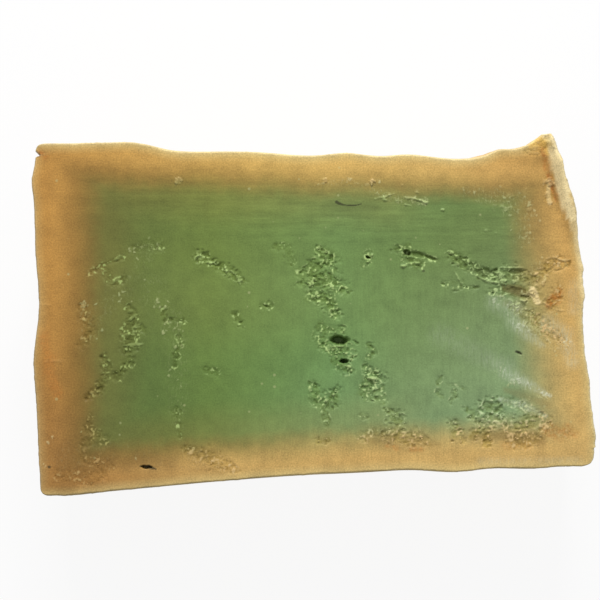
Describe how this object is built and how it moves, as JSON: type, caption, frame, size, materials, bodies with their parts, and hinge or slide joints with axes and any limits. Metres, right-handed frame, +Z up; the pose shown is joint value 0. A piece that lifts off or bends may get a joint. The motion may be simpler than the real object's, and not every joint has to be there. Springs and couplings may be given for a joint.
{
  "type": "soap bar",
  "caption": "Hand-cut block of green olive oil soap with a dried tan rind, cut in two and lying with its torn, porous cut face up and a ragged lip at one corner.",
  "frame": {"origin": "the middle of the underside of the bounding box, on the plane the half block lies on", "axes": "+X along the section, towards the side with the torn lip; +Y across the section, towards the edge that the lip's tip stands past; +Z up, out of the cut face"},
  "size_m": [0.08, 0.0514, 0.0322],
  "materials": {
    "soap": "satin cut face, green in the middle and hazing over to a tan dried rind along all sides"
  },
  "bodies": {
    "root": {"soap_bar": "soap"}
  },
  "joints": []
}
